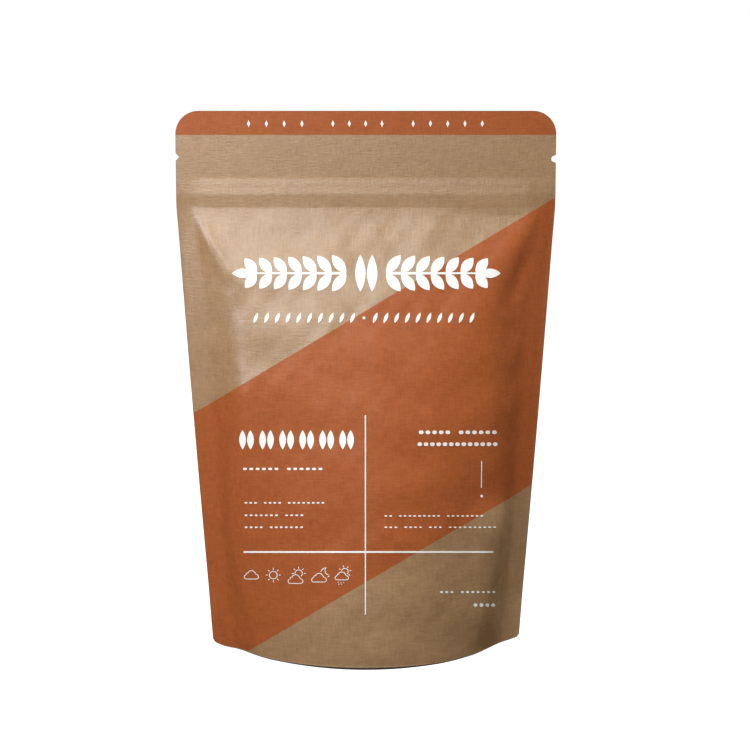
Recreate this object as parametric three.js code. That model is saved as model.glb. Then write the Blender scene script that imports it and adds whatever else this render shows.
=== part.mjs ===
// Kraft stand-up pouch: two walls of laminated kraft paper, heat-sealed along both sides and the top, with
// a folded gusset in the foot that opens under the weight of the contents so that the pouch stands by
// itself. Millimetres, +Z up. The front wall faces -Y, the origin lies under the middle of the foot, and
// the rim of the foot rests on z = 0. The shut pouch can't be seen into, so it is one solid from wall to
// wall.
import * as THREE from "three";
import { mergeVertices } from "three/addons/utils/BufferGeometryUtils.js";

const { lerp, clamp, smoothstep } = THREE.MathUtils;

// Overall sizes of the filled, standing pouch.
const HEIGHT = 232.5;
const TOP_WIDTH = 160;
const FOOT_WIDTH = 132.4;
const FOOT_DEPTH = 67.5;

// Seals and corners. The walls lie pressed together in the seals, and above the foot both side seals bend
// back toward their edges.
const SEAL_THICKNESS = 0.5;
const SIDE_SEAL = 6.5;
const TOP_CORNER_RADIUS = 9.8;
const FOOT_CORNER_RADIUS = 1;
const SEAL_BEND = 1.9;
const SEAL_BEND_WIDTH = 7.6;
const BEND_LOW = [6, 30];
const BEND_HIGH = [175, 205];

// The filled part starts under the zipper with a long, soft toe, leans out most there and stands upright at
// the foot.
const FILL_TOP = 192;
const FILL_TOE = 26;
const FILL_POWER = 1.42;
const SIDE_BOW = 0.4;

// A horizontal section of a wall at four stations up the filled part: their share of its height, how round
// or boxy the section is there, and how wide a toe it leaves each side seal with.
const STATIONS = [0, 0.29, 0.82, 1];
const ROUNDNESS = [2, 1.75, 1.4, 2.7];
const TOES = [14.2, 6.2, 22.5, 13];

// A hip runs down and inward from each upper corner of the filled part. The larger this is, the sharper
// the hip.
const HIP_SHARPNESS = 2.2;
const SMALLEST_SHARE = 1e-4;

// Press-to-close zipper. Over its height both walls lean apart, and below it they stay apart by as much.
// The side seals crush it to a part of its relief, and close the walls altogether below it.
const ZIPPER_TOP = 204.5;
const ZIPPER_END = 197.5;
const ZIPPER_RELIEF = 0.7;
const ZIPPER_CRUSH = 0.6;
const ZIPPER_CRUSHED_FROM = 0.92;

// Tear notches below the top seal: a nick on the left, a half oval on the right.
const LEFT_NOTCH = { height: 213.2, halfHeight: 1.6, depth: 1.5 };
const RIGHT_NOTCH = { height: 212.4, halfHeight: 1.5, depth: 2 };

// The foot stands on a rim, where the gusset is sealed to the walls. The rim lifts off the table toward
// each side, and more so in its outer corner. Its inner face keeps a share of the walls' depth, and inside
// it the contents press the gusset down.
const LEFT_FOOT = { lift: 0.3, from: 40, to: 47.5, rise: 2.9, corner: 8.6 };
const RIGHT_FOOT = { lift: 1.9, from: 29, to: 66.2, rise: 3.4, corner: 15.5 };
const FOOT_EASE = 40;
const RIM_SHARE = 0.975;
const RIM_END = 1.5;
const RIM_HEIGHT = 3.6;
const GUSSET_SAG = 0.8;

// How finely the surfaces are divided.
const BODY_COLUMNS = 28;
const SEAL_COLUMNS = 2;
const BODY_ROWS = 20;
const ROW_GROWTH = 1.4;
const CORNER_ROWS = 6;
const GUSSET_STEPS = 4;
const UNDERSIDE_POINTS = GUSSET_STEPS + 3;

// Half of the width over the side seals, with the top corners rounded off and the notches taken out.
function chord(z) {
  const up = clamp(z / FILL_TOP, 0, 1);
  return lerp(FOOT_WIDTH, TOP_WIDTH, up) / 2 + SIDE_BOW * Math.sin(Math.PI * up);
}

function roundedLoss(distanceIntoCorner, radius) {
  const along = clamp(distanceIntoCorner, 0, radius);
  return radius - Math.sqrt(radius ** 2 - along ** 2);
}

function notchDepth(z, side) {
  const notch = side < 0 ? LEFT_NOTCH : RIGHT_NOTCH;
  const away = Math.abs(z - notch.height) / notch.halfHeight;
  if (away >= 1) return 0;
  return notch.depth * (side < 0 ? 1 - away : Math.sqrt(1 - away ** 2));
}

function halfWidth(z, side) {
  const corner = roundedLoss(z - (HEIGHT - TOP_CORNER_RADIUS), TOP_CORNER_RADIUS);
  return chord(z) - corner - notchDepth(z, side);
}

// Share of the full depth in the middle of the width: 1 - (1 - t)^p of the way t down from the zipper.
function fillShare(z) {
  const down = clamp((FILL_TOP - z) / FILL_TOP, 0, 1);
  return (1 - (1 - down) ** FILL_POWER) * smoothstep(FILL_TOP - z, -FILL_TOE, FILL_TOE);
}

// A value that eases from station to station up the filled part.
function betweenStations(up, values) {
  let total = values[0];
  for (let i = 1; i < STATIONS.length; i++) {
    total += (values[i] - values[i - 1]) * smoothstep(up, STATIONS[i - 1], STATIONS[i]);
  }
  return total;
}

// Share of the full depth at a place across the filled width, from 1 in the middle to 0 at the side seals.
function sectionShare(across, z) {
  const up = clamp(z / FILL_TOP, 0, 1);
  const toe = betweenStations(up, TOES);
  const fromSeal = (1 - Math.abs(across)) * (chord(z) - SIDE_SEAL);
  return (1 - Math.abs(across) ** betweenStations(up, ROUNDNESS)) * smoothstep(fromSeal, -toe / 2, toe);
}

// Half of the space between the walls: the lesser of the two shares, with a rounded hip where they meet.
function fillDepth(across, z) {
  const shares = [fillShare(z), sectionShare(across, z)].map((share) => Math.max(share, SMALLEST_SHARE));
  const sum = shares[0] ** -HIP_SHARPNESS + shares[1] ** -HIP_SHARPNESS - 1;
  return ((FOOT_DEPTH - SEAL_THICKNESS) / 2) * sum ** (-1 / HIP_SHARPNESS);
}

function zipperRelief(across, z) {
  const lean = clamp((ZIPPER_TOP - z) / (ZIPPER_TOP - ZIPPER_END), 0, 1);
  const closing = 1 - (1 - ZIPPER_CRUSH) * smoothstep(z, FILL_TOP, ZIPPER_END);
  const crushed = closing * smoothstep(Math.abs(across), ZIPPER_CRUSHED_FROM, 1);
  return ZIPPER_RELIEF * lean * clamp(z / FILL_TOP, 0, 1) * (1 - crushed);
}

function halfDepth(across, z) {
  return SEAL_THICKNESS / 2 + fillDepth(across, z) + zipperRelief(across, z);
}

// Height of the bottom edge over the table at a distance from the middle, toward one side.
function footEdge(reach, side) {
  const foot = side < 0 ? LEFT_FOOT : RIGHT_FOOT;
  const intoCorner = clamp(1 - (FOOT_WIDTH / 2 - reach) / foot.corner, 0, 1);
  const tip = roundedLoss(reach - (FOOT_WIDTH / 2 - FOOT_CORNER_RADIUS), FOOT_CORNER_RADIUS);
  return foot.lift * smoothstep(reach, foot.from, foot.to) + foot.rise * intoCorner ** 2 + tip;
}

// How far both walls bend back together toward a side edge.
function sealBend(reach, z) {
  const outward = smoothstep(reach, chord(z) - SEAL_BEND_WIDTH, chord(z));
  return SEAL_BEND * outward * smoothstep(z, ...BEND_LOW) * (1 - smoothstep(z, ...BEND_HIGH));
}

// A column of the mesh runs up the front wall and down the back one. It is placed by its share of the
// filled width (across, -1 to 1) and, out in a side seal, by its share of that seal (outward, 0 to 1).
function columnPlaces() {
  const places = [];
  for (let i = 0; i <= BODY_COLUMNS; i++) {
    const even = (2 * i) / BODY_COLUMNS - 1;
    places.push({ across: Math.sin((Math.PI / 2) * even), outward: 0, side: Math.sign(even) || 1 });
  }
  for (let i = 1; i <= SEAL_COLUMNS; i++) {
    const outward = Math.sqrt(i / SEAL_COLUMNS);
    places.unshift({ across: -1, outward, side: -1 });
    places.push({ across: 1, outward, side: 1 });
  }
  return places;
}

function rowHeights() {
  const rows = [0, RIM_HEIGHT, FILL_TOP, ZIPPER_END, ZIPPER_TOP];
  const addSpan = (from, to, steps) => {
    for (let i = 1; i < steps; i++) rows.push(lerp(from, to, i / steps));
  };
  for (let i = 1; i < BODY_ROWS; i++) {
    rows.push(lerp(FILL_TOP, RIM_HEIGHT, (i / BODY_ROWS) ** ROW_GROWTH));
  }
  addSpan(FILL_TOP, ZIPPER_END, 3);
  addSpan(ZIPPER_END, ZIPPER_TOP, 3);
  for (const notch of [LEFT_NOTCH, RIGHT_NOTCH]) {
    for (const share of [-1, 0, 1]) rows.push(notch.height + share * notch.halfHeight);
  }
  for (let i = 0; i <= CORNER_ROWS; i++) {
    const turn = ((Math.PI / 2) * i) / CORNER_ROWS;
    rows.push(HEIGHT - TOP_CORNER_RADIUS * (1 - Math.sin(turn)));
  }
  return rows.sort((a, b) => a - b);
}

// A point on the outside of a wall. Rows near the foot follow its curved edge.
function wallPoint({ across, outward, side }, row, facing) {
  const reachAt = (z) => Math.abs(across) * (chord(z) - SIDE_SEAL) + outward * SIDE_SEAL;
  const lift = footEdge(reachAt(0), side) * (1 - smoothstep(row, 0, FOOT_EASE));
  const z = row + lift;
  const x = side * reachAt(z) * (halfWidth(z, side) / chord(z));
  return new THREE.Vector3(x, facing * halfDepth(across, z) + sealBend(Math.abs(x), z), z);
}

// A point on the inner face of the rim that the walls and the gusset make together.
function rimPoint({ across, side }, above, facing) {
  const reach = Math.abs(across) * (chord(0) - SIDE_SEAL);
  const z = footEdge(reach, side) + above;
  const x = side * Math.abs(across) * (chord(z) - SIDE_SEAL - RIM_END);
  return new THREE.Vector3(x, facing * RIM_SHARE * fillDepth(across, z), z);
}

// The underside of one column, from the back rim over the gusset to the front rim. Both rims meet at one
// point where the side seal begins, and in the seal the walls lie together.
function undersidePoints(place) {
  const inSeal = place.outward > 0;
  const back = inSeal ? wallPoint(place, 0, 1) : rimPoint(place, 0, 1);
  if (inSeal || Math.abs(place.across) > 0.999) {
    return Array.from({ length: UNDERSIDE_POINTS }, () => back.clone().setY(0));
  }
  const points = [back];
  for (let i = 0; i <= GUSSET_STEPS; i++) {
    const facing = 1 - (2 * i) / GUSSET_STEPS;
    const sag = GUSSET_SAG * (1 - facing ** 2) * (1 - place.across ** 2);
    points.push(rimPoint(place, RIM_HEIGHT, facing).setZ(back.z + RIM_HEIGHT - sag));
  }
  points.push(rimPoint(place, 0, -1));
  return points;
}

// Joins the columns, closed rings of equal length, and closes the strip along each outer edge.
function pouchGeometry() {
  const rows = rowHeights();
  const rings = columnPlaces().map((place) => {
    const front = rows.map((row) => wallPoint(place, row, -1));
    const back = rows.map((row) => wallPoint(place, row, 1)).reverse();
    return [...front, ...back, ...undersidePoints(place)];
  });
  const corners = [];
  const addTriangle = (a, b, c) => {
    const area = b.clone().sub(a).cross(c.clone().sub(a)).length();
    if (area > 1e-7) corners.push(a, b, c);
  };
  const addQuad = (a, b, c, d) => {
    addTriangle(a, b, c);
    addTriangle(a, c, d);
  };
  const length = rings[0].length;
  for (let i = 1; i < rings.length; i++) {
    for (let j = 0; j < length; j++) {
      const next = (j + 1) % length;
      addQuad(rings[i - 1][j], rings[i][j], rings[i][next], rings[i - 1][next]);
    }
  }
  const left = rings[0];
  const right = rings[rings.length - 1];
  const backOf = (j) => 2 * rows.length - 1 - j;
  for (let j = 2; j < rows.length; j++) {
    addQuad(left[j - 1], left[j], left[backOf(j)], left[backOf(j - 1)]);
    addQuad(right[backOf(j - 1)], right[backOf(j)], right[j], right[j - 1]);
  }
  const underMiddle = backOf(0) + 1;
  for (const [a, b] of [[0, 1], [1, backOf(1)], [backOf(1), backOf(0)]]) {
    addTriangle(left[underMiddle], left[a], left[b]);
    addTriangle(right[underMiddle], right[b], right[a]);
  }
  return mergeVertices(new THREE.BufferGeometry().setFromPoints(corners), 1e-4);
}

const kraftPaper = new THREE.MeshStandardMaterial({ color: 0xb5906b, roughness: 0.72, metalness: 0 });

const geometry = pouchGeometry();
geometry.computeVertexNormals();
const pouch = new THREE.Mesh(geometry, kraftPaper);
pouch.name = "pouch";

const part = new THREE.Group();
part.name = "kraft_stand_up_pouch";
part.add(pouch);

export default part;
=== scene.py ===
"""Kraft stand-up pouch: two printed paper walls, sealed to each other along both sides and the top, and
a gusset that opens in the foot. Metres, +Z up, the front wall faces -Y and the foot stands on z = 0."""
import math

import bpy
import numpy as np
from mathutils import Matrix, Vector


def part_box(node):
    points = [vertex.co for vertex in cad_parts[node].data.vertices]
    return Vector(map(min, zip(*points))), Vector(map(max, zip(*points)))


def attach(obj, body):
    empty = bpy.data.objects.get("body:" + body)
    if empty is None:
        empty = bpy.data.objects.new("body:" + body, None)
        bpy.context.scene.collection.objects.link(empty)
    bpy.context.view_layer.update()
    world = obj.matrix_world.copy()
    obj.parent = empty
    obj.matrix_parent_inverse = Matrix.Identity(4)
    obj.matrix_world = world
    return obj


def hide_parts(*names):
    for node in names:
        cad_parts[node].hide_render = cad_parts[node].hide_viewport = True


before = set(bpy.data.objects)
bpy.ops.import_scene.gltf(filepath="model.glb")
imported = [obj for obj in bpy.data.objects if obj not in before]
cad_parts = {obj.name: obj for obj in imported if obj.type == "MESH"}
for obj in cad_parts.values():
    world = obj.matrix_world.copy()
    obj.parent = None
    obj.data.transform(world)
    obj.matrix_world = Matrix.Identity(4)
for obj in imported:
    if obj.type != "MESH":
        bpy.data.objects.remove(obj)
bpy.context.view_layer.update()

scene = bpy.context.scene
scene.view_settings.view_transform = "Standard"

# ---- Camera --------------------------------------------------------------------------------------
# A long lens at about a metre, a little above the middle of the pouch. The pouch stands slightly left
# of the middle of the square frame, so the frame is shifted by that much.
VIEW_DISTANCE = 0.95
VIEW_ELEVATION = math.radians(9)
AIM_HEIGHT = 0.1203
FRAME_PIXELS = 750
FOCAL_PIXELS = 2223.4
MIDDLE_PIXEL = 365.8
SENSOR_WIDTH = 36

eye = np.array([
    0.0,
    -VIEW_DISTANCE * math.cos(VIEW_ELEVATION),
    AIM_HEIGHT + VIEW_DISTANCE * math.sin(VIEW_ELEVATION),
])
camera = bpy.data.objects.new("camera", bpy.data.cameras.new("camera"))
camera.data.sensor_width = SENSOR_WIDTH
camera.data.lens = FOCAL_PIXELS * SENSOR_WIDTH / FRAME_PIXELS
camera.data.shift_x = (FRAME_PIXELS / 2 - MIDDLE_PIXEL) / FRAME_PIXELS
camera.location = eye
camera.rotation_euler = (math.pi / 2 - VIEW_ELEVATION, 0, 0)
scene.collection.objects.link(camera)
scene.camera = camera

# ---- Light and floor -----------------------------------------------------------------------------
# A small soft box stands close in front on the left and fades across the pouch. A wider one fills from
# the front, and a large one high overhead catches what leans back. The room adds a warm, even glow.
LIGHT_TARGET = (0.0, 0.0, 0.12)
KEY = {"place": (-0.360, -0.303, 0.264), "size": 0.20, "power": 0.95, "colour": (1.0, 1.04, 1.10)}
FILL = {"place": (-0.130, -0.480, 0.385), "size": 0.30, "power": 1.66, "colour": (1.0, 1.01, 0.98)}
OVERHEAD = {"place": (0.300, 0.100, 1.250), "size": 0.60, "power": 24.8, "colour": (0.96, 1.05, 1.06)}
ROOM_COLOUR = (1.0, 0.88, 0.78, 1)
ROOM_GLOW = 0.26
HORIZON_COLOUR = (1, 1, 1, 1)
HORIZON_GLOW = 1.0
FLOOR_RADIUS = 60
FLOOR_SIDES = 64
FLOOR_COLOUR = (0.26, 0.26, 0.26, 1)
FLOOR_ROUGHNESS = 0.9
FLOOR_LIGHT = (1, 1, 1, 1)
FLOOR_GLOW = 0.96
# Places of the factor and the two colours among a Mix node's inputs, and of the colour it gives.
MIX_INPUTS = (0, 6, 7)
MIX_RESULT = 2


def feed(tree, socket, value):
    """Links a socket from another one, or sets it to a value."""
    if isinstance(value, bpy.types.NodeSocket):
        tree.links.new(value, socket)
    else:
        socket.default_value = value


def add_node(tree, kind, inputs=(), **settings):
    """A shader node with its settings and inputs, each of which is a value or a socket to link from."""
    made = tree.nodes.new(kind)
    for name, value in settings.items():
        setattr(made, name, value)
    for name, value in dict(inputs).items():
        feed(tree, made.inputs[name], value)
    return made


def mixed(tree, share, first, second):
    """A colour that goes from the first to the second as the share goes from 0 to 1."""
    made = add_node(tree, "ShaderNodeMix", data_type="RGBA")
    for place, value in zip(MIX_INPUTS, (share, first, second)):
        feed(tree, made.inputs[place], value)
    return made.outputs[MIX_RESULT]


def area_light(name, place, size, power, colour):
    """A square soft box at a place, turned to face the middle of the pouch."""
    lamp = bpy.data.lights.new(name, "AREA")
    lamp.size = size
    lamp.energy = power
    lamp.color = colour
    box = bpy.data.objects.new(name, lamp)
    away = np.array(place) - np.array(LIGHT_TARGET)
    box.location = place
    box.rotation_euler = (
        math.atan2(math.hypot(away[0], away[1]), away[2]),
        0,
        math.atan2(away[1], away[0]) + math.pi / 2,
    )
    scene.collection.objects.link(box)


area_light("key_light", **KEY)
area_light("fill_light", **FILL)
area_light("overhead_light", **OVERHEAD)

room = bpy.data.worlds.new("room")
room.use_nodes = True
room.node_tree.nodes.clear()
seen = add_node(room.node_tree, "ShaderNodeLightPath").outputs["Is Camera Ray"]
brightness = add_node(
    room.node_tree, "ShaderNodeMapRange", {"Value": seen, "To Min": ROOM_GLOW, "To Max": HORIZON_GLOW}
)
backdrop = add_node(room.node_tree, "ShaderNodeBackground", {
    "Color": mixed(room.node_tree, seen, ROOM_COLOUR, HORIZON_COLOUR),
    "Strength": brightness.outputs["Result"],
})
add_node(room.node_tree, "ShaderNodeOutputWorld", {"Surface": backdrop.outputs["Background"]})
room.cycles_visibility.glossy = False
scene.world = room

turn = np.linspace(0, 2 * np.pi, FLOOR_SIDES, endpoint=False)
ring = np.stack([FLOOR_RADIUS * np.cos(turn), FLOOR_RADIUS * np.sin(turn), 0 * turn], axis=1)
floor_mesh = bpy.data.meshes.new("floor")
floor_mesh.from_pydata(ring.tolist(), [], [list(range(FLOOR_SIDES))])
pale_floor = bpy.data.materials.new("pale_floor")
pale_floor.use_nodes = True
floor_shader = pale_floor.node_tree.nodes["Principled BSDF"]
floor_shader.inputs["Base Color"].default_value = FLOOR_COLOUR
floor_shader.inputs["Roughness"].default_value = FLOOR_ROUGHNESS
floor_shader.inputs["Specular IOR Level"].default_value = 0.0
floor_shader.inputs["Emission Color"].default_value = FLOOR_LIGHT
floor_shader.inputs["Emission Strength"].default_value = FLOOR_GLOW
floor_mesh.materials.append(pale_floor)
floor = bpy.data.objects.new("floor", floor_mesh)
floor.visible_diffuse = False
floor.visible_glossy = False
scene.collection.objects.link(floor)

# ---- Front wall ----------------------------------------------------------------------------------
# A sheet of kraft paper laminated to clear film. It is printed, folded and sealed flat, and the filling
# pushes it out below the zipper while its edges stay flat in the seals.
box_low, box_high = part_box("pouch")
TOP_WIDTH = box_high[0] - box_low[0]
FOOT_DEPTH = box_high[1] - box_low[1]
HEIGHT = box_high[2]
FOOT_WIDTH = 0.1324
SIDE_SEAL = 0.0065
SEAL_THICKNESS = 0.0005
TOP_CORNER_RADIUS = 0.0098
FOOT_CORNER_RADIUS = 0.0010

FILL_TOP = 0.192
FILL_POWER = 1.42
FILL_TOE = 0.026
SIDE_BOW = 0.0004
# A level section at four stations up the filled part: share of its height, roundness, width of the toe.
STATIONS = (0.0, 0.29, 0.82, 1.0)
ROUNDNESS = (2.0, 1.75, 1.4, 2.7)
TOES = (0.0142, 0.0062, 0.0225, 0.0130)
HIP_SHARPNESS = 2.2
LEAST_SHARE = 1e-4

ZIPPER_TOP = 0.2045
ZIPPER_END = 0.1975
ZIPPER_RELIEF = 0.0007
ZIPPER_RIBS = 2
RIB_DEPTH = 0.2
# Below the zipper the walls close past this share of the width, and at the zipper by only so much.
CLOSING_FROM = 0.92
ZIPPER_CRUSH = 0.6

LEFT_NOTCH = {"height": 0.2132, "half_height": 0.0016, "depth": 0.0015}
RIGHT_NOTCH = {"height": 0.2124, "half_height": 0.0015, "depth": 0.0020}

# The bottom edge lifts off the floor toward each side, and more so in its outer corner.
LEFT_FOOT = {"lift": 0.0003, "from": 0.040, "to": 0.0475, "rise": 0.0029, "corner": 0.0086}
RIGHT_FOOT = {"lift": 0.0019, "from": 0.029, "to": 0.0662, "rise": 0.0034, "corner": 0.0155}
FOOT_EASE = 0.040

# Toward their cut edges the side seals bend back. The bend comes in over the low heights, and goes over
# the high ones.
SEAL_BEND = 0.0019
SEAL_BEND_WIDTH = 0.0076
BEND_LOW = (0.006, 0.030)
BEND_HIGH = (0.175, 0.205)

# Folds fade past a share of the width, over a height from the foot, and round the filling's top. A
# crease also fades at both ends, over a share of its length either way.
FOLDS_TO = 0.9
FOLDS_FROM_FOOT = 0.006
FOLDS_BELOW_TOP = (-0.004, 0.012)
CREASE_FADE = 0.2
BILLOW_WAVES = 12

WALL_COLUMNS = 180
# Where the spacing of the rows changes, and how many rows there are from there to the next place.
ROW_BANDS = ((0.0, 160), (0.1880, 56), (0.2104, 18), (0.2152, 8))
CORNER_ROWS = 26
SHARP_ANGLE = math.radians(50)
# The artwork's coordinates are scaled and moved into the unit square of a UV map.
PRINT_SCALE = 4.0
PRINT_MIDDLE = 0.5
# The painted highlight and the painted shade along the foot get narrower toward the sides, with the
# square of the share of the width.
FOOT_LINE_NARROWING = 4


def smooth_step(x, start, end):
    """0 before start, 1 after end, and 3t^2 - 2t^3 in between."""
    t = np.clip((x - start) / (end - start), 0, 1)
    return t * t * (3 - 2 * t)


def chord(z):
    """Half of the width over the side seals: straight from foot to zipper with a bow, then upright."""
    up = np.clip(z / FILL_TOP, 0, 1)
    return (FOOT_WIDTH + (TOP_WIDTH - FOOT_WIDTH) * up) / 2 + SIDE_BOW * np.sin(np.pi * up)


def rounded_loss(into_corner, radius):
    """What a quarter circle takes off an edge at a distance into its corner."""
    along = np.clip(into_corner, 0, radius)
    return radius - np.sqrt(radius**2 - along**2)


def notch_depth(z, side):
    """A straight-sided nick on the left and half an oval on the right."""
    left = np.abs(z - LEFT_NOTCH["height"]) / LEFT_NOTCH["half_height"]
    right = np.abs(z - RIGHT_NOTCH["height"]) / RIGHT_NOTCH["half_height"]
    nick = LEFT_NOTCH["depth"] * np.clip(1 - left, 0, 1)
    oval = RIGHT_NOTCH["depth"] * np.sqrt(np.clip(1 - right**2, 0, 1))
    return np.where(side < 0, nick, oval)


def half_width(z, side):
    """The chord with the rounded top corners and the tear notches taken off."""
    corner = rounded_loss(z - (HEIGHT - TOP_CORNER_RADIUS), TOP_CORNER_RADIUS)
    return chord(z) - corner - notch_depth(z, side)


def fill_share(z):
    """Share of the full depth at mid width: 1 - (1 - t)^p of the way t below the zipper, over a toe."""
    down = np.clip((FILL_TOP - z) / FILL_TOP, 0, 1)
    return (1 - (1 - down) ** FILL_POWER) * smooth_step(FILL_TOP - z, -FILL_TOE, FILL_TOE)


def between_stations(up, values):
    """A value that eases from station to station up the filled part."""
    total = values[0]
    for i in range(1, len(STATIONS)):
        total = total + (values[i] - values[i - 1]) * smooth_step(up, STATIONS[i - 1], STATIONS[i])
    return total


def section_share(across, z):
    """Share of the full depth across the width: 1 - |u|^n, eased in over a toe along the seal."""
    up = np.clip(z / FILL_TOP, 0, 1)
    toe = between_stations(up, TOES)
    from_seal = (1 - across) * (chord(z) - SIDE_SEAL)
    return (1 - across ** between_stations(up, ROUNDNESS)) * smooth_step(from_seal, -toe / 2, toe)


def hipped(first, second):
    """The lesser of two shares with a rounded hip between them: (a^-k + b^-k - 1)^(-1/k)."""
    low = np.maximum(first, LEAST_SHARE)
    high = np.maximum(second, LEAST_SHARE)
    return (low**-HIP_SHARPNESS + high**-HIP_SHARPNESS - 1) ** (-1 / HIP_SHARPNESS)


def filling(across, z):
    """How far the filling pushes a wall out: half of the foot's depth times the hipped share."""
    return (FOOT_DEPTH - SEAL_THICKNESS) / 2 * hipped(fill_share(z), section_share(across, z))


def zipper_relief(across, z):
    """The zipper leans out over its ribs: t - d sin(2 pi n t) / (2 pi n) of the way t down it.

    Below it the walls stand apart as far, and they close again in the side seals."""
    way = np.clip((ZIPPER_TOP - z) / (ZIPPER_TOP - ZIPPER_END), 0, 1)
    cycle = 2 * np.pi * ZIPPER_RIBS
    lean = way - RIB_DEPTH * np.sin(cycle * way) / cycle
    closing = 1 - (1 - ZIPPER_CRUSH) * smooth_step(z, FILL_TOP, ZIPPER_END)
    open_part = 1 - closing * smooth_step(across, CLOSING_FROM, 1)
    return ZIPPER_RELIEF * lean * np.clip(z / FILL_TOP, 0, 1) * open_part


def foot_edge(reach, side):
    """Height of the bottom edge: a soft lift, a rise with t^2 in the corner, and its rounded tip."""
    heights = []
    for foot in (LEFT_FOOT, RIGHT_FOOT):
        lift = foot["lift"] * smooth_step(reach, foot["from"], foot["to"])
        into_corner = np.clip(1 - (FOOT_WIDTH / 2 - reach) / foot["corner"], 0, 1)
        heights.append(lift + foot["rise"] * into_corner**2)
    tip = rounded_loss(reach - (FOOT_WIDTH / 2 - FOOT_CORNER_RADIUS), FOOT_CORNER_RADIUS)
    return np.where(side < 0, *heights) + tip


def print_place(x, depth, z):
    """Where the straight line from the camera through a point meets the artwork's middle plane."""
    reach = eye[1] / (eye[1] + depth)
    return x * reach, eye[2] + (z - eye[2]) * reach


def wall_depth(x, z, folds):
    """Depth of a wall's outside off the middle plane: seal, filling and zipper, then the folds.

    folds takes places as the camera sees them on the middle plane."""
    across = np.clip(np.abs(x) / (chord(z) - SIDE_SEAL), 0, 1)
    depth = SEAL_THICKNESS / 2 + filling(across, z) + zipper_relief(across, z)
    off_seal = 1 - smooth_step(across, FOLDS_TO, 1)
    off_foot = smooth_step(z, 0, FOLDS_FROM_FOOT)
    below_top = smooth_step(FILL_TOP - z, *FOLDS_BELOW_TOP)
    return depth + folds(*print_place(x, depth, z)) * off_seal * off_foot * below_top


def wall_surface(share, row, folds):
    """Outside of a wall at a share of its width (-1 to 1) and a row's height, as x, depth and z.

    The rows follow the curved foot edge and straighten out above it. The columns run between the cut
    edges."""
    seal_share = SIDE_SEAL / (TOP_WIDTH / 2)
    side = np.where(share < 0, -1.0, 1.0)
    across = np.clip(np.abs(share) / (1 - seal_share), 0, 1)
    into_seal = np.clip((np.abs(share) - (1 - seal_share)) / seal_share, 0, 1)

    def reach_at(height):
        """Distance from the middle at a height, before the corners and notches are taken off."""
        return across * (chord(height) - SIDE_SEAL) + into_seal * SIDE_SEAL

    z = row + foot_edge(reach_at(0.0), side) * (1 - smooth_step(row, 0, FOOT_EASE))
    x = side * reach_at(z)
    return x * half_width(z, side) / chord(z), wall_depth(x, z, folds), z


def seal_bend(x, z):
    """How far both walls bend back together toward their side edges, between foot and header."""
    into = smooth_step(np.abs(x), chord(z) - SEAL_BEND_WIDTH, chord(z))
    return SEAL_BEND * into * smooth_step(z, *BEND_LOW) * (1 - smooth_step(z, *BEND_HIGH))


def edge_distance(x, z):
    """How far a point of the wall lies inside its cut edge, round the top corners too."""
    side_gap = half_width(np.minimum(z, HEIGHT - TOP_CORNER_RADIUS), np.sign(x)) - np.abs(x)
    gap = np.minimum(side_gap, HEIGHT - z)
    into_x = TOP_CORNER_RADIUS - side_gap
    into_z = z - (HEIGHT - TOP_CORNER_RADIUS)
    in_corner = (into_x > 0) & (into_z > 0)
    return np.where(in_corner, TOP_CORNER_RADIUS - np.hypot(into_x, into_z), gap)


def closed_sheet(name, outer, inner, facing_front=True):
    """A mesh object from two grids of points, its outside and its inside, joined round their edge."""
    rows, columns = outer.shape[:2]
    points = np.concatenate([outer.reshape(-1, 3), inner.reshape(-1, 3)])
    index = np.arange(rows * columns).reshape(rows, columns)
    corners = [index[:-1, :-1], index[:-1, 1:], index[1:, 1:], index[1:, :-1]]
    faces = np.stack(corners, axis=-1).reshape(-1, 4)
    border = np.concatenate([index[0, :-1], index[:-1, -1], index[-1, :0:-1], index[:0:-1, 0]])
    after = np.roll(border, -1)
    under = rows * columns
    rim = np.stack([after, border, border + under, after + under], axis=-1)
    faces = np.concatenate([faces, faces[:, ::-1] + under, rim])
    if not facing_front:
        faces = faces[:, ::-1]
    mesh = bpy.data.meshes.new(name)
    mesh.from_pydata(points.tolist(), [], faces.tolist())
    mesh.polygons.foreach_set("use_smooth", np.ones(len(faces), dtype=bool))
    mesh.set_sharp_from_angle(angle=SHARP_ANGLE)
    piece = bpy.data.objects.new(name, mesh)
    scene.collection.objects.link(piece)
    return piece


def wall_rows():
    """Heights of the rows: even in each band, then with the sine of the turn round the top corners."""
    starts = [start for start, _ in ROW_BANDS]
    ends = starts[1:] + [HEIGHT - TOP_CORNER_RADIUS]
    bands = [
        np.linspace(start, end, count, endpoint=False)
        for (start, count), end in zip(ROW_BANDS, ends)
    ]
    corner_turn = np.linspace(0, np.pi / 2, CORNER_ROWS)
    return np.concatenate([*bands, HEIGHT - TOP_CORNER_RADIUS * (1 - np.sin(corner_turn))])


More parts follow.
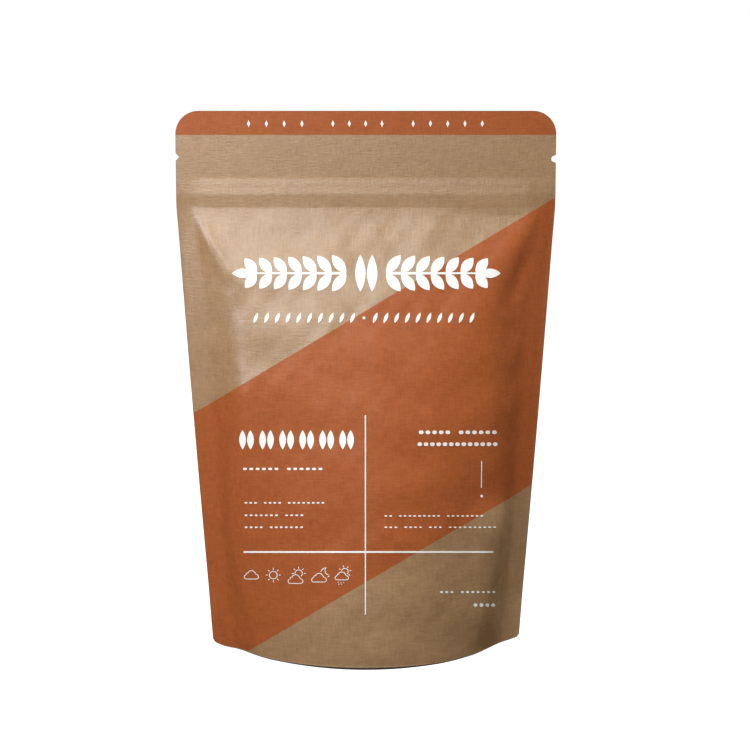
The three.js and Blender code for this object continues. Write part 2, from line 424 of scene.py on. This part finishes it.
def build_wall(name, folds, facing):
    """One wall as a closed sheet, with its artwork's coordinates and distances from its cut edges."""
    share, row = np.meshgrid(np.linspace(-1, 1, WALL_COLUMNS), wall_rows())
    x, depth, z = wall_surface(share, row, folds)
    outer = np.stack([x, facing * depth + seal_bend(x, z), z], axis=-1)
    inner = np.stack([x, facing * (depth - SEAL_THICKNESS / 2) + seal_bend(x, z), z], axis=-1)
    wall = closed_sheet(name, outer, inner, facing_front=facing < 0)
    print_x, print_z = print_place(x, depth, z)
    place = np.stack([print_x * PRINT_SCALE + PRINT_MIDDLE, print_z * PRINT_SCALE], axis=-1)
    place = np.tile(place.reshape(-1, 2), (2, 1))
    corner_vertex = np.empty(len(wall.data.loops), dtype=np.int32)
    wall.data.loops.foreach_get("vertex_index", corner_vertex)
    artwork = wall.data.uv_layers.new(name="artwork")
    artwork.uv.foreach_set("vector", place[corner_vertex].ravel())
    foot_gap = row * (1 + FOOT_LINE_NARROWING * share**2)
    for attribute, distance in (("edge_gap", edge_distance(x, z)), ("foot_gap", foot_gap)):
        layer = wall.data.attributes.new(attribute, "FLOAT", "POINT")
        layer.data.foreach_set("value", np.tile(distance.ravel(), 2))
    return wall


# The print: orange over the top seal, and as a wide band that climbs from lower left to upper right.
BAND_SLOPE = 0.601
BAND_TOP_AT_MIDDLE = 0.1480
BAND_FOOT_AT_MIDDLE = 0.0293
SEAL_PRINT_FROM = 0.2224
PRINT_BLUR = 0.0001
RAGGED_EDGE = {"cells": 2500, "detail": 2, "reach": 0.0002}
KRAFT_LIGHT = (0.448, 0.267, 0.133, 1)
KRAFT_DARK = (0.281, 0.165, 0.081, 1)
ORANGE_LIGHT = (0.449, 0.121, 0.035, 1)
ORANGE_DARK = (0.299, 0.079, 0.022, 1)
KRAFT_SHEEN = 0.84
ORANGE_SHEEN = 0.20
# Lines along the cut edges: colour, distance at which each ends and is full, and how much it covers.
CUT_LINE = {"colour": (0.17, 0.14, 0.10, 1), "end": 0.0004, "full": 0.0001, "cover": 0.6}
# Along the foot: a painted highlight on the paper's rounded lip, and under it a thin near-black line of
# painted shade at the very bottom edge.
FOOT_LIP_HIGHLIGHT = {"colour": (0.55, 0.42, 0.30, 1), "end": 0.0019, "full": 0.0013, "cover": 0.4}
FOOT_SHADE = {"colour": (0.035, 0.022, 0.015, 1), "end": 0.0012, "full": 0.0007, "cover": 0.94}
# Noise in the paper: cells for each metre, detail, and the values that are spread to 0 and 1. A part is
# the share that a noise has in the tone, or in the relief under the sheen.
CLOUDS = {"cells": 45, "detail": 4, "low": 0.30, "high": 0.70}
BLOTCHES = {"cells": 150, "detail": 4, "low": 0.35, "high": 0.65}
MOTTLE = {"cells": 420, "detail": 6, "low": 0.30, "high": 0.70}
LEVEL_FIBRES = {"cells": 230, "detail": 3, "low": 0.35, "high": 0.65, "stretch": (1, 1, 6)}
UPRIGHT_FIBRES = {"cells": 230, "detail": 3, "low": 0.35, "high": 0.65, "stretch": (6, 1, 1)}
SATIN = {"cells": 300, "detail": 4, "low": 0.20, "high": 0.80}
CLOUDS_PART = 0.11
BLOTCHES_PART = 0.12
MOTTLE_PART = 0.22
FIBRES_PART = 0.55
NOISE_ROUGHNESS = 0.6
SATIN_ROUGHNESS = (0.32, 0.39)
TOOTH = {"cells": 1600, "detail": 4}
TOOTH_PART = 0.5
COCKLE = {"cells": 140, "detail": 3}
COCKLE_PART = 2.5
BUMP_STRENGTH = 0.35
BUMP_HEIGHT = 0.00012


def paper_material(name, printed=True):
    """Kraft paper under film: mottled, with fibres in two tones, a soft sheen and a slight tooth."""
    material = bpy.data.materials.new(name)
    material.use_nodes = True
    tree = material.node_tree
    shader = tree.nodes["Principled BSDF"]
    shader.inputs["Specular IOR Level"].default_value = KRAFT_SHEEN
    here = add_node(tree, "ShaderNodeTexCoord").outputs["Object"]

    def noise(cells, detail, stretch=(1, 1, 1)):
        """Fractal noise over the object."""
        moved = add_node(tree, "ShaderNodeMapping", {"Vector": here, "Scale": stretch})
        settings = {"Scale": cells, "Detail": detail, "Roughness": NOISE_ROUGHNESS}
        made = add_node(tree, "ShaderNodeTexNoise", {"Vector": moved.outputs["Vector"], **settings})
        return made.outputs["Fac"]

    def arithmetic(operation, first, second):
        """A sum, difference, product, quotient or maximum of two values."""
        made = add_node(tree, "ShaderNodeMath", operation=operation)
        for socket, value in zip(made.inputs, (first, second)):
            feed(tree, socket, value)
        return made.outputs["Value"]

    def ramp(value, low, high):
        """0 where the value is low, 1 where it is high, and straight in between."""
        made = add_node(tree, "ShaderNodeMapRange", {"Value": value, "From Min": low, "From Max": high})
        return made.outputs["Result"]

    def between(share, low, high):
        """A value that goes from low to high as the share goes from 0 to 1."""
        made = add_node(tree, "ShaderNodeMapRange", {"Value": share, "To Min": low, "To Max": high})
        return made.outputs["Result"]

    def grain(cells, detail, low, high, stretch=(1, 1, 1)):
        """Noise spread out between 0 and 1."""
        return ramp(noise(cells, detail, stretch), low, high)

    def weighted(total, value, part):
        """A total with a part of another value added."""
        return arithmetic("ADD", total, arithmetic("MULTIPLY", value, part))

    def edge_line(colour_so_far, attribute, colour, end, full, cover):
        """A colour laid over what is there, along an edge that an attribute gives the distance from."""
        gap = add_node(tree, "ShaderNodeAttribute", attribute_name=attribute).outputs["Fac"]
        return mixed(tree, arithmetic("MULTIPLY", ramp(gap, end, full), cover), colour_so_far, colour)

    fibre = arithmetic("ADD", grain(**LEVEL_FIBRES), grain(**UPRIGHT_FIBRES))
    fibre = arithmetic("MULTIPLY", fibre, 1 / 2)
    tone = arithmetic("MULTIPLY", grain(**MOTTLE), MOTTLE_PART)
    tone = weighted(tone, fibre, FIBRES_PART)
    tone = weighted(tone, grain(**CLOUDS), CLOUDS_PART)
    tone = weighted(tone, grain(**BLOTCHES), BLOTCHES_PART)
    colour = mixed(tree, tone, KRAFT_DARK, KRAFT_LIGHT)

    if printed:
        artwork = add_node(tree, "ShaderNodeUVMap", uv_map="artwork").outputs["UV"]
        place = add_node(tree, "ShaderNodeSeparateXYZ", {"Vector": artwork})
        print_x = arithmetic("SUBTRACT", place.outputs["X"], PRINT_MIDDLE)
        print_x = arithmetic("DIVIDE", print_x, PRINT_SCALE)
        print_z = arithmetic("DIVIDE", place.outputs["Y"], PRINT_SCALE)
        ragged = arithmetic("SUBTRACT", noise(RAGGED_EDGE["cells"], RAGGED_EDGE["detail"]), 1 / 2)
        ragged = arithmetic("MULTIPLY", ragged, RAGGED_EDGE["reach"])
        over_line = arithmetic("SUBTRACT", print_z, arithmetic("MULTIPLY", print_x, BAND_SLOPE))
        over_line = arithmetic("ADD", over_line, ragged)
        over_foot = ramp(over_line, BAND_FOOT_AT_MIDDLE - PRINT_BLUR, BAND_FOOT_AT_MIDDLE + PRINT_BLUR)
        under_top = ramp(over_line, BAND_TOP_AT_MIDDLE + PRINT_BLUR, BAND_TOP_AT_MIDDLE - PRINT_BLUR)
        in_band = arithmetic("MULTIPLY", over_foot, under_top)
        over_seal = arithmetic("ADD", print_z, ragged)
        in_seal = ramp(over_seal, SEAL_PRINT_FROM - PRINT_BLUR, SEAL_PRINT_FROM + PRINT_BLUR)
        in_orange = arithmetic("MAXIMUM", in_band, in_seal)
        colour = mixed(tree, in_orange, colour, mixed(tree, tone, ORANGE_DARK, ORANGE_LIGHT))
        feed(tree, shader.inputs["Specular IOR Level"], between(in_orange, KRAFT_SHEEN, ORANGE_SHEEN))
        colour = edge_line(colour, "edge_gap", **CUT_LINE)
        # A painted highlight along the foot's lip, then a line of painted shade at its bottom edge.
        colour = edge_line(colour, "foot_gap", **FOOT_LIP_HIGHLIGHT)
        colour = edge_line(colour, "foot_gap", **FOOT_SHADE)

    feed(tree, shader.inputs["Base Color"], colour)
    feed(tree, shader.inputs["Roughness"], between(grain(**SATIN), *SATIN_ROUGHNESS))
    relief = weighted(fibre, noise(**TOOTH), TOOTH_PART)
    relief = weighted(relief, noise(**COCKLE), COCKLE_PART)
    bump = add_node(
        tree, "ShaderNodeBump", {"Height": relief, "Strength": BUMP_STRENGTH, "Distance": BUMP_HEIGHT}
    )
    feed(tree, shader.inputs["Normal"], bump.outputs["Normal"])
    return material


def crease(x, z, start, end, width, height):
    """A fold between two places: height exp(-(d/w)^2) across the line, faded out at both ends."""
    line = np.subtract(end, start)
    length = math.hypot(*line)
    along = ((x - start[0]) * line[0] + (z - start[1]) * line[1]) / length**2
    aside = ((x - start[0]) * line[1] - (z - start[1]) * line[0]) / length
    bell = np.exp(-((aside / width) ** 2))
    risen = smooth_step(along, -CREASE_FADE, CREASE_FADE)
    return height * bell * risen * smooth_step(1 - along, -CREASE_FADE, CREASE_FADE)


def billows(x, z, seed, height, longest):
    """Soft, uneven swelling: a sum of waves in random directions, from longest to a third of it."""
    draw = np.random.default_rng(seed)
    total = np.zeros_like(x)
    for wave in range(BILLOW_WAVES):
        turn, phase = draw.uniform(0, 2 * np.pi, 2)
        cycle = 2 * np.pi / (longest / (1 + 2 * wave / BILLOW_WAVES))
        total += np.sin(cycle * (x * np.cos(turn) + z * np.sin(turn)) + phase)
    return height * total / math.sqrt(BILLOW_WAVES)


LONG_SWELLING = {"seed": 3, "height": 0.00020, "longest": 0.060}
SHORT_SWELLING = {"seed": 5, "height": 0.00006, "longest": 0.022}
# Start, end, width and height of each fold, outward positive: first the creases below the zipper and
# the upper corners, then the ridges that stand beside the two side valleys lower down.
FRONT_CREASES = (
    ((-0.0750, 0.1920), (-0.0560, 0.1600), 0.0030, 0.0006),
    ((0.0340, 0.1897), (0.0720, 0.1885), 0.0040, -0.0009),
    ((0.0749, 0.1866), (0.0600, 0.1500), 0.0040, -0.0011),
    ((0.0712, 0.1371), (0.0629, 0.1150), 0.0030, -0.0006),
    ((-0.0530, 0.1200), (-0.0535, 0.0060), 0.0085, 0.0023),
    ((0.0590, 0.1250), (0.0570, 0.0400), 0.0085, 0.0018),
    ((0.0565, 0.0600), (0.0540, 0.0070), 0.0095, 0.0032),
)


def front_folds(x, z):
    """Folds of the front wall: long and short swelling with the creases over it."""
    swelling = billows(x, z, **LONG_SWELLING) + billows(x, z, **SHORT_SWELLING)
    return swelling + sum(crease(x, z, *fold) for fold in FRONT_CREASES)


printed_kraft = paper_material("printed_kraft")
front_wall = build_wall("front_wall", front_folds, -1)
front_wall.data.materials.append(printed_kraft)
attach(front_wall, "root")
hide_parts("pouch")

# ---- Back wall -----------------------------------------------------------------------------------
# The same laminated kraft, sealed to the front wall along both sides and the top. It has the same
# colours, so that the orange runs round the side seals without a step, and no marks.
BACK_SWELLING = {"seed": 8, "height": 0.00030, "longest": 0.065}
BACK_CREASES = (
    ((-0.0740, 0.1880), (-0.0540, 0.1420), 0.0040, -0.0007),
    ((0.0735, 0.1890), (0.0590, 0.1640), 0.0035, 0.0006),
    ((0.0640, 0.1200), (0.0560, 0.0800), 0.0045, -0.0006),
)


def back_folds(x, z):
    """Folds of the back wall: swelling, a crease below each upper corner, and one lower down."""
    return billows(x, z, **BACK_SWELLING) + sum(crease(x, z, *fold) for fold in BACK_CREASES)


back_wall = build_wall("back_wall", back_folds, 1)
back_wall.data.materials.append(printed_kraft)
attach(back_wall, "root")
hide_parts("pouch")

# ---- Foot gusset ---------------------------------------------------------------------------------
# A folded sheet of the same kraft, sealed inside both walls along the foot. Standing, it opens into a
# shallow vault whose middle fold sags a little on the contents.
GUSSET_HEIGHT = 0.0036
GUSSET_SAG = 0.0008
GUSSET_THICKNESS = 0.0003
GUSSET_BEND = 0.0012
GUSSET_END = 0.0015
FOLD_HEIGHT = 0.0004
FOLD_WIDTH = 0.03
RIM_GAP = 0.0001
RIM_STEPS = 4
BEND_STEPS = 6
VAULT_STEPS = 47
GUSSET_COLUMNS = 121


def gusset_profile():
    """From the front edge to the back one: share of the depth, distance inside the walls, height.

    It runs straight up inside the wall, turns through a quarter circle, and crosses to the other wall."""
    bend = np.linspace(0, np.pi / 2, BEND_STEPS + 1)[1:]
    rise = np.linspace(0, GUSSET_HEIGHT - GUSSET_BEND, RIM_STEPS)
    inset = np.concatenate([np.zeros(RIM_STEPS), GUSSET_BEND * (1 - np.cos(bend))])
    height = np.concatenate([rise, rise[-1] + GUSSET_BEND * np.sin(bend)])
    over = np.linspace(-1, 1, VAULT_STEPS + 2)[1:-1]
    share = np.concatenate([-np.ones(len(inset)), over, np.ones(len(inset))])
    inset = np.concatenate([inset, np.zeros(VAULT_STEPS), inset[::-1]])
    height = np.concatenate([height, np.full(VAULT_STEPS, GUSSET_HEIGHT), height[::-1]])
    return share, inset, height


def gusset_surface(across, share, inset, height, lift):
    """The gusset's underside, or its top face when lifted by its thickness, as x, y and z.

    It follows the foot's edge, and the vault sags by (1 - share^2)(1 - across^2)."""
    side = np.where(across < 0, -1.0, 1.0)
    reach = np.abs(across) * (chord(0.0) - SIDE_SEAL)
    z = foot_edge(reach, side) + height
    x = side * np.abs(across) * (chord(z) - SIDE_SEAL - GUSSET_END)
    room_inside = np.maximum(filling(np.abs(across), z) - RIM_GAP - inset, 0)
    vault = (1 - share**2) * (1 - across**2)
    fold = FOLD_HEIGHT * np.exp(-((share / FOLD_WIDTH) ** 2)) * (1 - across**2)
    y = share * np.maximum(room_inside - lift, 0)
    over = smooth_step(height, 0, GUSSET_HEIGHT)
    return np.stack([x, y, z - (GUSSET_SAG * vault - fold) * over + lift * over], axis=-1)


edge_share, edge_inset, edge_height = gusset_profile()
column_turn = np.linspace(-np.pi / 2, np.pi / 2, GUSSET_COLUMNS)
across, profile = np.meshgrid(np.sin(column_turn), np.arange(len(edge_share)))
places = (across, edge_share[profile], edge_inset[profile], edge_height[profile])
underside = gusset_surface(*places, 0.0)
top_face = gusset_surface(*places, GUSSET_THICKNESS)
foot_gusset = closed_sheet("foot_gusset", underside, top_face, facing_front=False)
foot_gusset.data.materials.append(paper_material("plain_kraft", printed=False))
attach(foot_gusset, "root")
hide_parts("pouch")

# ---- Printed marks -------------------------------------------------------------------------------
# Opaque white ink, printed on the front before it is laminated. Each mark is a thin skin on the paper,
# a strip along a path on the artwork's plane, with a width that varies along it.
INK_LIFT = 0.00012
INK_SUNK = 0.00012
INK_DARK = (0.88, 0.87, 0.86, 1)
INK_LIGHT = (0.95, 0.945, 0.94, 1)
INK_GRAIN = {"Scale": 1400, "Detail": 4}
INK_TONE_FROM = 0.3
INK_TONE_TO = 0.6
INK_ROUGHNESS = (0.42, 0.58)
INK_BUMP_STRENGTH = 0.25
INK_BUMP_HEIGHT = 0.00005
SIGHT_STEPS = 8
UPRIGHT = math.radians(90)
# In a bead as wide as it is long the middle points fall together. Their run is divided by this at least.
LEAST_RUN = 1e-12
LEAST_HALF_WIDTH = 2e-5
LEAF_POINTS = 11
LEAF_FULLNESS = 0.8
ROUND_END_POINTS = 5
ROUND_END_FROM = 0.15
LEAST_END = 1e-5
BAR_STEP = 0.0015
BEAD_POINTS = 5
DISC_POINTS = 15
DISC_FROM = 0.12


def on_front_wall(print_x, print_z):
    """The place on the wall that the camera sees at a place of the artwork, by repeated correction."""
    x, z = print_x, print_z
    for _ in range(SIGHT_STEPS):
        reach = 1 + wall_depth(x, z, front_folds) / eye[1]
        x, z = print_x * reach, eye[2] + (print_z - eye[2]) * reach
    return np.stack([x, -wall_depth(x, z, front_folds), z], axis=-1)


def strip(path, half_width):
    """Left and right edge of a strip: the path moved by its half width, either way along its normal."""
    run = np.gradient(path, axis=0)
    run = run / np.maximum(np.hypot(run[:, 0], run[:, 1]), LEAST_RUN)[:, None]
    aside = np.stack([-run[:, 1], run[:, 0]], axis=1)
    aside = aside * np.broadcast_to(half_width, len(path))[:, None]
    return np.stack([path + aside, path - aside], axis=1)


def leaf(base, turn, length, width, points=LEAF_POINTS):
    """A pointed oval from its base: the half width is w/2 sin(pi t)^f along the length."""
    t = np.linspace(0, 1, points)
    direction = np.array([math.cos(turn), math.sin(turn)])
    path = np.asarray(base) + t[:, None] * length * direction
    return strip(path, np.maximum(width / 2 * np.sin(np.pi * t) ** LEAF_FULLNESS, LEAST_HALF_WIDTH))


def bar(start, end, width, points):
    """A straight line with round ends: sqrt(r^2 - s^2) into each end, the full half width between."""
    length = math.dist(start, end)
    radius = width / 2
    corner = radius * (1 - np.cos(np.linspace(ROUND_END_FROM, np.pi / 2, ROUND_END_POINTS)))
    middle = np.linspace(radius, length - radius, max(points, int(length / BAR_STEP)))[1:-1]
    along = np.concatenate([corner, middle, length - corner[::-1]])
    into = radius - np.minimum(np.minimum(along, length - along), radius)
    path = np.asarray(start) + (along / length)[:, None] * np.subtract(end, start)
    return strip(path, np.sqrt(np.maximum(radius**2 - into**2, LEAST_END**2)))


def disc(centre, radius):
    """A round dot, as a strip whose half width is r sin(t) at r cos(t) off the centre."""
    turn = np.linspace(DISC_FROM, np.pi - DISC_FROM, DISC_POINTS)
    path = np.stack([centre[0] - radius * np.cos(turn), np.full(DISC_POINTS, centre[1])], axis=1)
    return strip(path, radius * np.sin(turn))


def arc(centre, radius, start, end, width, points):
    """Part of a ring, as a line of even width from one angle to another."""
    turn = np.linspace(start, end, points)
    path = np.stack([centre[0] + radius * np.cos(turn), centre[1] + radius * np.sin(turn)], axis=1)
    return strip(path, width / 2)


def beads(start_x, end_x, z, bead, left_out=()):
    """A row of short bars with round ends, evenly spaced, with the numbered ones left out."""
    length = bead["length"]
    count = 1 + round((end_x - start_x - length) / bead["pitch"])
    row = [
        bar((x, z), (x + length, z), bead["width"], BEAD_POINTS)
        for x in np.linspace(start_x, end_x - length, count)
    ]
    return [made for i, made in enumerate(row) if i not in left_out]


def ink_material():
    """Opaque white ink: slightly warm, thinner over the fibres, with a fine tooth and a satin sheen."""
    material = bpy.data.materials.new("white_ink")
    material.use_nodes = True
    tree = material.node_tree
    shader = tree.nodes["Principled BSDF"]
    here = add_node(tree, "ShaderNodeTexCoord").outputs["Object"]
    grain = add_node(tree, "ShaderNodeTexNoise", {"Vector": here, **INK_GRAIN}).outputs["Fac"]
    tones = add_node(tree, "ShaderNodeValToRGB", {"Fac": grain})
    dark, light = tones.color_ramp.elements
    dark.position = INK_TONE_FROM
    dark.color = INK_DARK
    light.position = INK_TONE_TO
    light.color = INK_LIGHT
    feed(tree, shader.inputs["Base Color"], tones.outputs["Color"])
    dull, satin = INK_ROUGHNESS
    sheen = add_node(tree, "ShaderNodeMapRange", {"Value": grain, "To Min": dull, "To Max": satin})
    feed(tree, shader.inputs["Roughness"], sheen.outputs["Result"])
    bump_inputs = {"Height": grain, "Strength": INK_BUMP_STRENGTH, "Distance": INK_BUMP_HEIGHT}
    bump = add_node(tree, "ShaderNodeBump", bump_inputs)
    feed(tree, shader.inputs["Normal"], bump.outputs["Normal"])
    return material


white_ink = ink_material()


def ink_marks(name, strips):
    """All strips as one mesh of thin closed plates on the front wall, their tops toward the camera."""
    edges = np.concatenate(strips)
    place = on_front_wall(edges[..., 0], edges[..., 1])
    sight = (eye - place) / np.linalg.norm(eye - place, axis=-1, keepdims=True)
    layers = np.stack([place + INK_LIFT * sight, place - INK_SUNK * sight])
    count = edges.shape[0] * 2
    left, right = np.arange(count).reshape(-1, 2).T
    ends = np.cumsum([len(part) for part in strips])
    first, last = np.concatenate([[0], ends[:-1]]), ends - 1
    here = np.setdiff1d(np.arange(len(left)), last)
    ahead = here + 1
    top = np.stack([left[here], right[here], right[ahead], left[ahead]], axis=1)
    left_side = [left[here], left[ahead], left[ahead] + count, left[here] + count]
    right_side = [right[ahead], right[here], right[here] + count, right[ahead] + count]
    start_cap = [right[first], left[first], left[first] + count, right[first] + count]
    end_cap = [left[last], right[last], right[last] + count, left[last] + count]
    sides = [np.stack(corners, axis=1) for corners in (left_side, right_side, start_cap, end_cap)]
    faces = np.concatenate([top, top[:, ::-1] + count, *sides])
    mesh = bpy.data.meshes.new(name)
    mesh.from_pydata(layers.reshape(-1, 3).tolist(), [], faces.tolist())
    marks = bpy.data.objects.new(name, mesh)
    scene.collection.objects.link(marks)
    marks.data.materials.append(white_ink)
    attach(marks, "root")


# The heading: two sprigs of paired leaves, with a seed in two halves between them.
HEADING_MIDDLE = (0.0002, 0.1640)
SPRIG_START = 0.0085
SPRIG_END = 0.0555
STEM_SHORT = 0.004
STEM_POINTS = 40
STEM_HALF_WIDTH = (0.0006, 0.0003)
LEAF_PAIRS = 7
PAIRS_SHORT = 0.009
LEAF_LENGTH = 0.0098
LEAF_WIDTH = 0.0044
LEAF_SHRINK = 0.03
LEAF_TURN = math.radians(52)
TIP_LEAF = {"short": 0.0075, "length": 0.0090, "width": 0.0040}
HALF_SEED = {"length": 0.0156, "width": 0.0044, "points": 21}
HALF_SEED_ASIDE = 0.0025
middle_x, middle_z = HEADING_MIDDLE
heading = []
for side in (-1, 1):
    outward = 0 if side > 0 else math.pi
    stem_x = middle_x + side * np.linspace(SPRIG_START, SPRIG_END - STEM_SHORT, STEM_POINTS)
    stem = np.stack([stem_x, np.full(STEM_POINTS, middle_z)], axis=1)
    heading.append(strip(stem, np.linspace(*STEM_HALF_WIDTH, STEM_POINTS)))
    for pair, reach in enumerate(np.linspace(SPRIG_START, SPRIG_END - PAIRS_SHORT, LEAF_PAIRS)):
        base = (middle_x + side * reach, middle_z)
        for turn in (-side * LEAF_TURN, side * LEAF_TURN):
            heading.append(leaf(base, outward + turn, LEAF_LENGTH * (1 - LEAF_SHRINK * pair), LEAF_WIDTH))
    tip = (middle_x + side * (SPRIG_END - TIP_LEAF["short"]), middle_z)
    heading.append(leaf(tip, outward, TIP_LEAF["length"], TIP_LEAF["width"]))
for side in (-1, 1):
    foot = (middle_x + side * HALF_SEED_ASIDE, middle_z - HALF_SEED["length"] / 2)
    heading.append(leaf(foot, UPRIGHT, **HALF_SEED))
ink_marks("heading_sprigs", heading)

# Under it, a row of slanted seeds on each side of a dot.
SEED_ROW = 0.1449
SEED = {"turn": math.radians(68), "length": 0.0048, "width": 0.0015}
SEED_FOOT = (-0.0009, -0.0022)
SEED_GROUPS = ((-0.0468, -0.0056, 10), (0.0040, 0.0452, 10))
SEED_ROW_DOT = {"centre": (-0.0008, SEED_ROW), "radius": 0.0006}
seed_row = [disc(**SEED_ROW_DOT)]
for group in SEED_GROUPS:
    for x in np.linspace(*group):
        seed_row.append(leaf((x + SEED_FOOT[0], SEED_ROW + SEED_FOOT[1]), **SEED))
ink_marks("seed_row", seed_row)

# In the header, small upright diamonds in three groups.
HEADER_ROW = 0.2271
DIAMOND_HALF_HEIGHT = 0.0014
DIAMOND_HALF_WIDTH = 0.00065
DIAMOND_GROUPS = ((-0.0492, -0.0268, 4), (-0.0138, 0.0068, 4), (0.0199, 0.0489, 5))
header_row = []
for group in DIAMOND_GROUPS:
    for x in np.linspace(*group):
        heights = HEADER_ROW + np.array([-DIAMOND_HALF_HEIGHT, 0, DIAMOND_HALF_HEIGHT])
        widths = np.array([LEAST_HALF_WIDTH, DIAMOND_HALF_WIDTH, LEAST_HALF_WIDTH])
        header_row.append(strip(np.stack([np.full(3, x), heights], axis=1), widths))
ink_marks("header_diamonds", header_row)

# Left column: a row of beans in two halves, over four broken lines. The lines of beads are given by
# start, end, height, bead and the numbers of the beads that are left out.
BEAN_ROW = 0.0921
BEAN_GROUP = (-0.0512, -0.0082, 6)
BEAN = {"length": 0.0084, "width": 0.0029, "points": 15}
BEAN_ASIDE = 0.0017
MEDIUM_BEAD = {"length": 0.0017, "pitch": 0.0026, "width": 0.0010}
FINE_BEAD = {"length": 0.0012, "pitch": 0.0021, "width": 0.0007}
LEFT_LINES = (
    (-0.0528, -0.0187, 0.0794, MEDIUM_BEAD, (6,)),
    (-0.0523, -0.0179, 0.0645, FINE_BEAD, (3, 8)),
    (-0.0523, -0.0270, 0.0590, FINE_BEAD, (7,)),
    (-0.0523, -0.0272, 0.0537, FINE_BEAD, (4,)),
)
beans = []
for x in np.linspace(*BEAN_GROUP):
    for side in (-1, 1):
        foot = (x + side * BEAN_ASIDE, BEAN_ROW - BEAN["length"] / 2)
        beans.append(leaf(foot, UPRIGHT, **BEAN))
ink_marks("bean_row", beans)
ink_marks("left_lines", [made for line in LEFT_LINES for made in beads(*line)])

# Right column: two bold broken lines, two fine ones, and two at the foot.
BOLD_BEAD = {"length": 0.0020, "pitch": 0.0028, "width": 0.0016}
HAIR_BEAD = {"length": 0.0012, "pitch": 0.0021, "width": 0.0006}
SMALL_BEAD = {"length": 0.0013, "pitch": 0.0023, "width": 0.0009}
ROUND_BEAD = {"length": 0.0016, "pitch": 0.0025, "width": 0.0016}
RIGHT_LINES = (
    (0.0228, 0.0562, 0.0954, BOLD_BEAD, (5,)),
    (0.0222, 0.0566, 0.0902, BOLD_BEAD),
    (0.0081, 0.0507, 0.0587, HAIR_BEAD, (2, 12)),
    (0.0081, 0.0563, 0.0537, HAIR_BEAD, (3, 8, 12)),
    (0.0322, 0.0562, 0.0249, SMALL_BEAD, (3,)),
    (0.0469, 0.0562, 0.0191, ROUND_BEAD),
)
ink_marks("right_lines", [made for line in RIGHT_LINES for made in beads(*line)])

# Thin rules divide the front: one upright, one level, and a short one that ends over a dot.
UPRIGHT_RULE = {"start": (-0.00017, 0.1029), "end": (-0.00017, 0.0147), "width": 0.0005, "points": 80}
LEVEL_RULE = {"start": (-0.0530, 0.04275), "end": (0.0553, 0.04275), "width": 0.0008, "points": 100}
SHORT_RULE = {"start": (0.0498, 0.0829), "end": (0.0498, 0.0710), "width": 0.0004, "points": 12}
RULE_DOT = {"centre": (0.04995, 0.0675), "radius": 0.0006}
ink_marks("rules", [bar(**UPRIGHT_RULE), bar(**LEVEL_RULE), bar(**SHORT_RULE), disc(**RULE_DOT)])

# A row of five small weather signs in thin line: cloud, sun, cloud before the sun, cloud before the
# moon, and a rain cloud before the sun.
SIGN_LINE = 0.0003
# A ray starts and ends at so many radii from the sun's centre.
RAY_FROM = 1.35
RAY_TO = 1.9
MOON = {"centre": (-0.0173, 0.0336), "radius": 0.0021}
MOON_HOLLOW = {"centre": (-0.0158, 0.0345), "radius": 0.0019}
RAIN_DROP = np.array([-0.0003, -0.0004])
RAIN = ((-0.0118, 0.0294), (-0.0106, 0.0294), (-0.0094, 0.0294), (-0.0115, 0.0286), (-0.0103, 0.0286))


def sign_line(start, end, points=4):
    """A straight thin line."""
    return bar(start, end, SIGN_LINE, points)


def sign_arc(centre, radius, start, end, points=13):
    """A thin line along part of a ring."""
    return arc(centre, radius, start, end, SIGN_LINE, points)


def cloud(centre, size):
    """A cloud twice its size wide: four bumps over a flat base, with a slope down to the last.

    Places and radii are shares of the size."""
    def at(right, up):
        """A place off the cloud's centre."""
        return centre[0] + right * size, centre[1] + up * size

    return [
        sign_line(at(-0.72, -0.60), at(0.72, -0.60), points=8),
        sign_arc(at(-0.70, -0.30), 0.30 * size, 0.55 * math.pi, 1.50 * math.pi),
        sign_arc(at(-0.50, 0.08), 0.20 * size, 0.35 * math.pi, 1.10 * math.pi),
        sign_arc(at(0.02, 0.07), 0.54 * size, 0.08 * math.pi, 0.86 * math.pi),
        sign_line(at(0.53, 0.20), at(0.78, 0.02)),
        sign_arc(at(0.69, -0.29), 0.31 * size, -0.50 * math.pi, 0.40 * math.pi),
    ]


def sun(centre, radius, ring, rays):
    """A ring, or the part of one that a cloud leaves free, with short rays standing off it.

    Both are given by their first and last angle, and the rays by their number too."""
    drawn = [sign_arc(centre, radius, *ring, points=19)]
    for turn in np.linspace(*rays):
        out = radius * np.array([math.cos(turn), math.sin(turn)])
        drawn.append(sign_line(centre + RAY_FROM * out, centre + RAY_TO * out))
    return drawn


signs = cloud((-0.0496, 0.0326), 0.0031)
signs += sun((-0.0401, 0.0325), 0.0017, ring=(0, 2 * math.pi), rays=(0, 1.75 * math.pi, 8))
signs += cloud((-0.0305, 0.0307), 0.0032)
signs += sun((-0.0291, 0.0332), 0.0016, ring=(-0.9, 3.2), rays=(0, math.pi, 5))
signs += cloud((-0.0203, 0.0313), 0.0032)
signs.append(sign_arc(**MOON, start=1.6, end=3.0))
signs.append(sign_arc(**MOON, start=-1.2, end=-0.75, points=5))
signs.append(sign_arc(**MOON_HOLLOW, start=2.35, end=4.55))
signs += cloud((-0.0104, 0.0321), 0.0029)
signs += sun((-0.0091, 0.0340), 0.0015, ring=(-0.8, 2.9), rays=(-0.65, 2.65, 5))
signs += [sign_line(place, place + RAIN_DROP) for place in RAIN]
ink_marks("weather_signs", signs)
